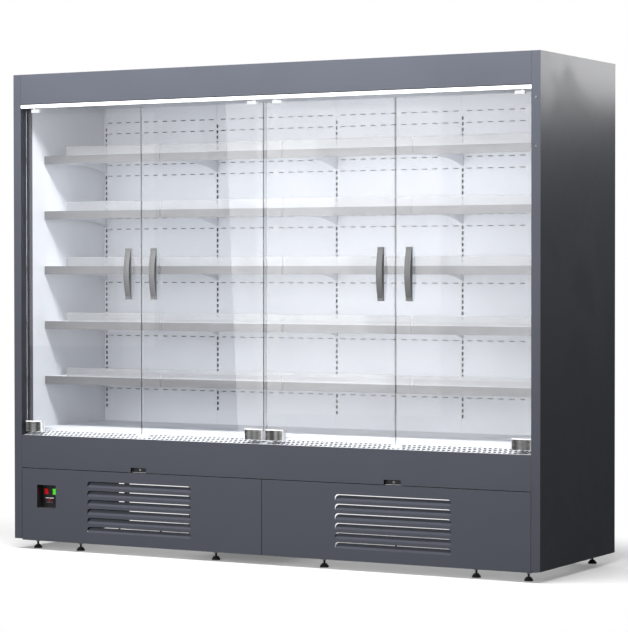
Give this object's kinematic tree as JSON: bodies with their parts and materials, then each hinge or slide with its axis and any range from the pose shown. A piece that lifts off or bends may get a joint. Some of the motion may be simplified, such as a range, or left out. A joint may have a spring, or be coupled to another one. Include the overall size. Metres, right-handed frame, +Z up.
{
  "type": "multideck display fridge",
  "caption": "Tall multideck display fridge with frameless hinged glass doors, bow handles, perforated back wall, hook-in shelves, lit canopy, louvred kick panels and levelling feet.",
  "frame": {"origin": "on the floor, at the middle of the overall box", "axes": "+X to the right along the front, +Y from the doors to the back, +Z up"},
  "size_m": [2.58, 0.784, 2.129],
  "materials": {
    "panel_paint": "satin, dark grey",
    "liner_paint": "satin, white",
    "foam": "rigid foam",
    "glass": "clear toughened",
    "acrylic": "clear acrylic",
    "steel": "brushed",
    "zinc": "zinc plated",
    "aluminium": "mill",
    "rail_plastic": "semi-gloss grey",
    "diffuser": "opal",
    "white_plastic": "matte",
    "black_plastic": "matte",
    "red_plastic": "gloss",
    "green_plastic": "gloss",
    "black_paint": "gloss",
    "frame_paint": "satin"
  },
  "bodies": {
    "cabinet": {"right_side_skin": "panel_paint", "left_side_skin": "panel_paint", "side_liners": "liner_paint", "insulation_cores": "foam", "back_skin": "panel_paint", "back_liner": "liner_paint", "roof_skin": "panel_paint", "ceiling_panel": "liner_paint", "canopy_fascia": "panel_paint", "light_diffuser": "diffuser", "light_housing": "aluminium", "canopy_rail": "black_paint", "air_outlet_honeycomb": "white_plastic", "back_duct_panels": "liner_paint", "shelf_uprights": "liner_paint", "price_rails": "rail_plastic", "shelf_risers": "acrylic", "shelf_brackets": "liner_paint", "deck_panels": "liner_paint", "intake_grilles": "steel", "insulated_tub": "liner_paint", "evaporator_fan_plate": "zinc", "evaporator_coil": "aluminium", "front_bumper": "panel_paint", "control_box": "black_paint", "thermostat": "black_plastic", "door_floor_pins": "steel", "door_stops": "black_plastic", "base_frame": "frame_paint", "levelling_feet": "black_plastic", "foot_lock_nuts": "zinc", "condensing_tray": "zinc", "condenser_coil": "aluminium", "condenser_fan_shroud": "black_paint", "compressor": "black_paint", "panel_screws": "steel", "shelf_trays_1": "liner_paint", "shelf_trays_2": "liner_paint", "shelf_trays_3": "liner_paint", "shelf_trays_4": "liner_paint", "shelf_trays_5": "liner_paint"},
    "door_1": {"door_1_glass": "glass", "door_1_fittings": "steel", "door_1_handle": "steel"},
    "door_2": {"door_2_glass": "glass", "door_2_fittings": "steel", "door_2_handle": "steel"},
    "door_3": {"door_3_glass": "glass", "door_3_fittings": "steel", "door_3_handle": "steel"},
    "door_4": {"door_4_glass": "glass", "door_4_fittings": "steel", "door_4_handle": "steel"},
    "kick_panel_left": {"kick_panel_left": "panel_paint"},
    "kick_panel_right": {"kick_panel_right": "panel_paint"},
    "main_switch": {"main_switch": "red_plastic"},
    "lamp_switch": {"lamp_switch": "green_plastic"},
    "evaporator_fan_left": {"evaporator_fan_left": "black_plastic"},
    "evaporator_fan_right": {"evaporator_fan_right": "black_plastic"},
    "condenser_fan": {"condenser_fan": "black_plastic"}
  },
  "joints": [
    {"name": "door_1_hinge", "type": "hinge", "parent": "cabinet", "child": "door_1", "pos_m": [-1.198, -0.358, 0.529], "axis": [0, 0, -1], "range_deg": [0, 90]},
    {"name": "door_2_hinge", "type": "hinge", "parent": "cabinet", "child": "door_2", "pos_m": [-0.052, -0.358, 0.529], "axis": [0, 0, 1], "range_deg": [0, 90]},
    {"name": "door_3_hinge", "type": "hinge", "parent": "cabinet", "child": "door_3", "pos_m": [0.052, -0.358, 0.529], "axis": [0, 0, -1], "range_deg": [0, 90]},
    {"name": "door_4_hinge", "type": "hinge", "parent": "cabinet", "child": "door_4", "pos_m": [1.198, -0.358, 0.529], "axis": [0, 0, 1], "range_deg": [0, 90]},
    {"name": "kick_panel_left_lift_off", "type": "slide", "parent": "cabinet", "child": "kick_panel_left", "axis": [0, -1, 0], "range_m": [0, 0.25]},
    {"name": "kick_panel_right_lift_off", "type": "slide", "parent": "cabinet", "child": "kick_panel_right", "axis": [0, -1, 0], "range_m": [0, 0.25]},
    {"name": "main_switch_rock", "type": "hinge", "parent": "cabinet", "child": "main_switch", "pos_m": [-1.146, -0.34, 0.26], "axis": [-1, 0, 0], "range_deg": [0, 14]},
    {"name": "lamp_switch_rock", "type": "hinge", "parent": "cabinet", "child": "lamp_switch", "pos_m": [-1.101, -0.34, 0.26], "axis": [-1, 0, 0], "range_deg": [0, 14]},
    {"name": "evaporator_fan_left_spin", "type": "hinge", "parent": "cabinet", "child": "evaporator_fan_left", "pos_m": [-0.625, -0.2638, 0.467], "axis": [0, 1, 0], "continuous": true},
    {"name": "evaporator_fan_right_spin", "type": "hinge", "parent": "cabinet", "child": "evaporator_fan_right", "pos_m": [0.625, -0.2638, 0.467], "axis": [0, 1, 0], "continuous": true},
    {"name": "condenser_fan_spin", "type": "hinge", "parent": "cabinet", "child": "condenser_fan", "pos_m": [-0.197, -0.21, 0.182], "axis": [0, 1, 0], "continuous": true}
  ]
}
